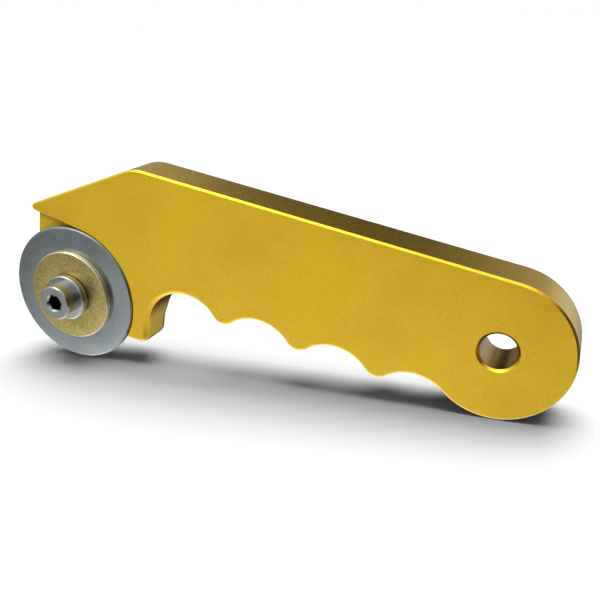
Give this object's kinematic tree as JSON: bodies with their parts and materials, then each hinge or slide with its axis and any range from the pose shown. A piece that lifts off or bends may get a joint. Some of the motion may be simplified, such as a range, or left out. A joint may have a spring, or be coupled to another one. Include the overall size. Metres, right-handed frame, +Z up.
{
  "type": "honing guide",
  "caption": "Hand-held rotary honing tool: leaning finger-grooved plate handle with a free-turning disc on a screwed axle at its nose.",
  "frame": {"origin": "centre of the bounding box on the floor the disc rim and the round tail stand on", "axes": "+X towards the round tail, +Y from the disc side to the plain back face, +Z up"},
  "size_m": [0.1536, 0.0206, 0.0549],
  "materials": {
    "anodised_gold": "satin gold anodised aluminium with bright cut edges",
    "ground_steel": "finely ground satin steel",
    "yellow_zinc": "yellow zinc passivated steel with faint green and pink mottling",
    "stainless": "bright plated steel",
    "bearing_steel": "polished bearing steel",
    "cage_brass": "machined brass"
  },
  "bodies": {
    "handle_body": {"handle": "anodised_gold", "thread_insert": "stainless", "axle_screw": "stainless", "screw_washer": "stainless", "front_spacer": "stainless", "rear_spacer": "stainless", "bearing_inner_ring": "bearing_steel"},
    "wheel": {"hub": "yellow_zinc", "clamp_ring": "yellow_zinc", "front_flange": "yellow_zinc", "disc": "ground_steel", "bearing_outer_ring": "bearing_steel", "shield_front": "bearing_steel", "shield_rear": "bearing_steel"},
    "ball_cage": {"bearing_cage": "cage_brass", "bearing_balls": "bearing_steel"}
  },
  "joints": [
    {"name": "wheel_spin", "type": "hinge", "parent": "handle_body", "child": "wheel", "pos_m": [-0.05747, -0.0024, 0.0193], "axis": [0, 1, 0], "continuous": true},
    {"name": "cage_spin", "type": "hinge", "parent": "handle_body", "child": "ball_cage", "pos_m": [-0.05747, -0.0024, 0.0193], "axis": [0, 1, 0], "continuous": true}
  ],
  "couplings": [
    {"joint": "cage_spin", "follows": "wheel_spin", "ratio": 0.583}
  ]
}
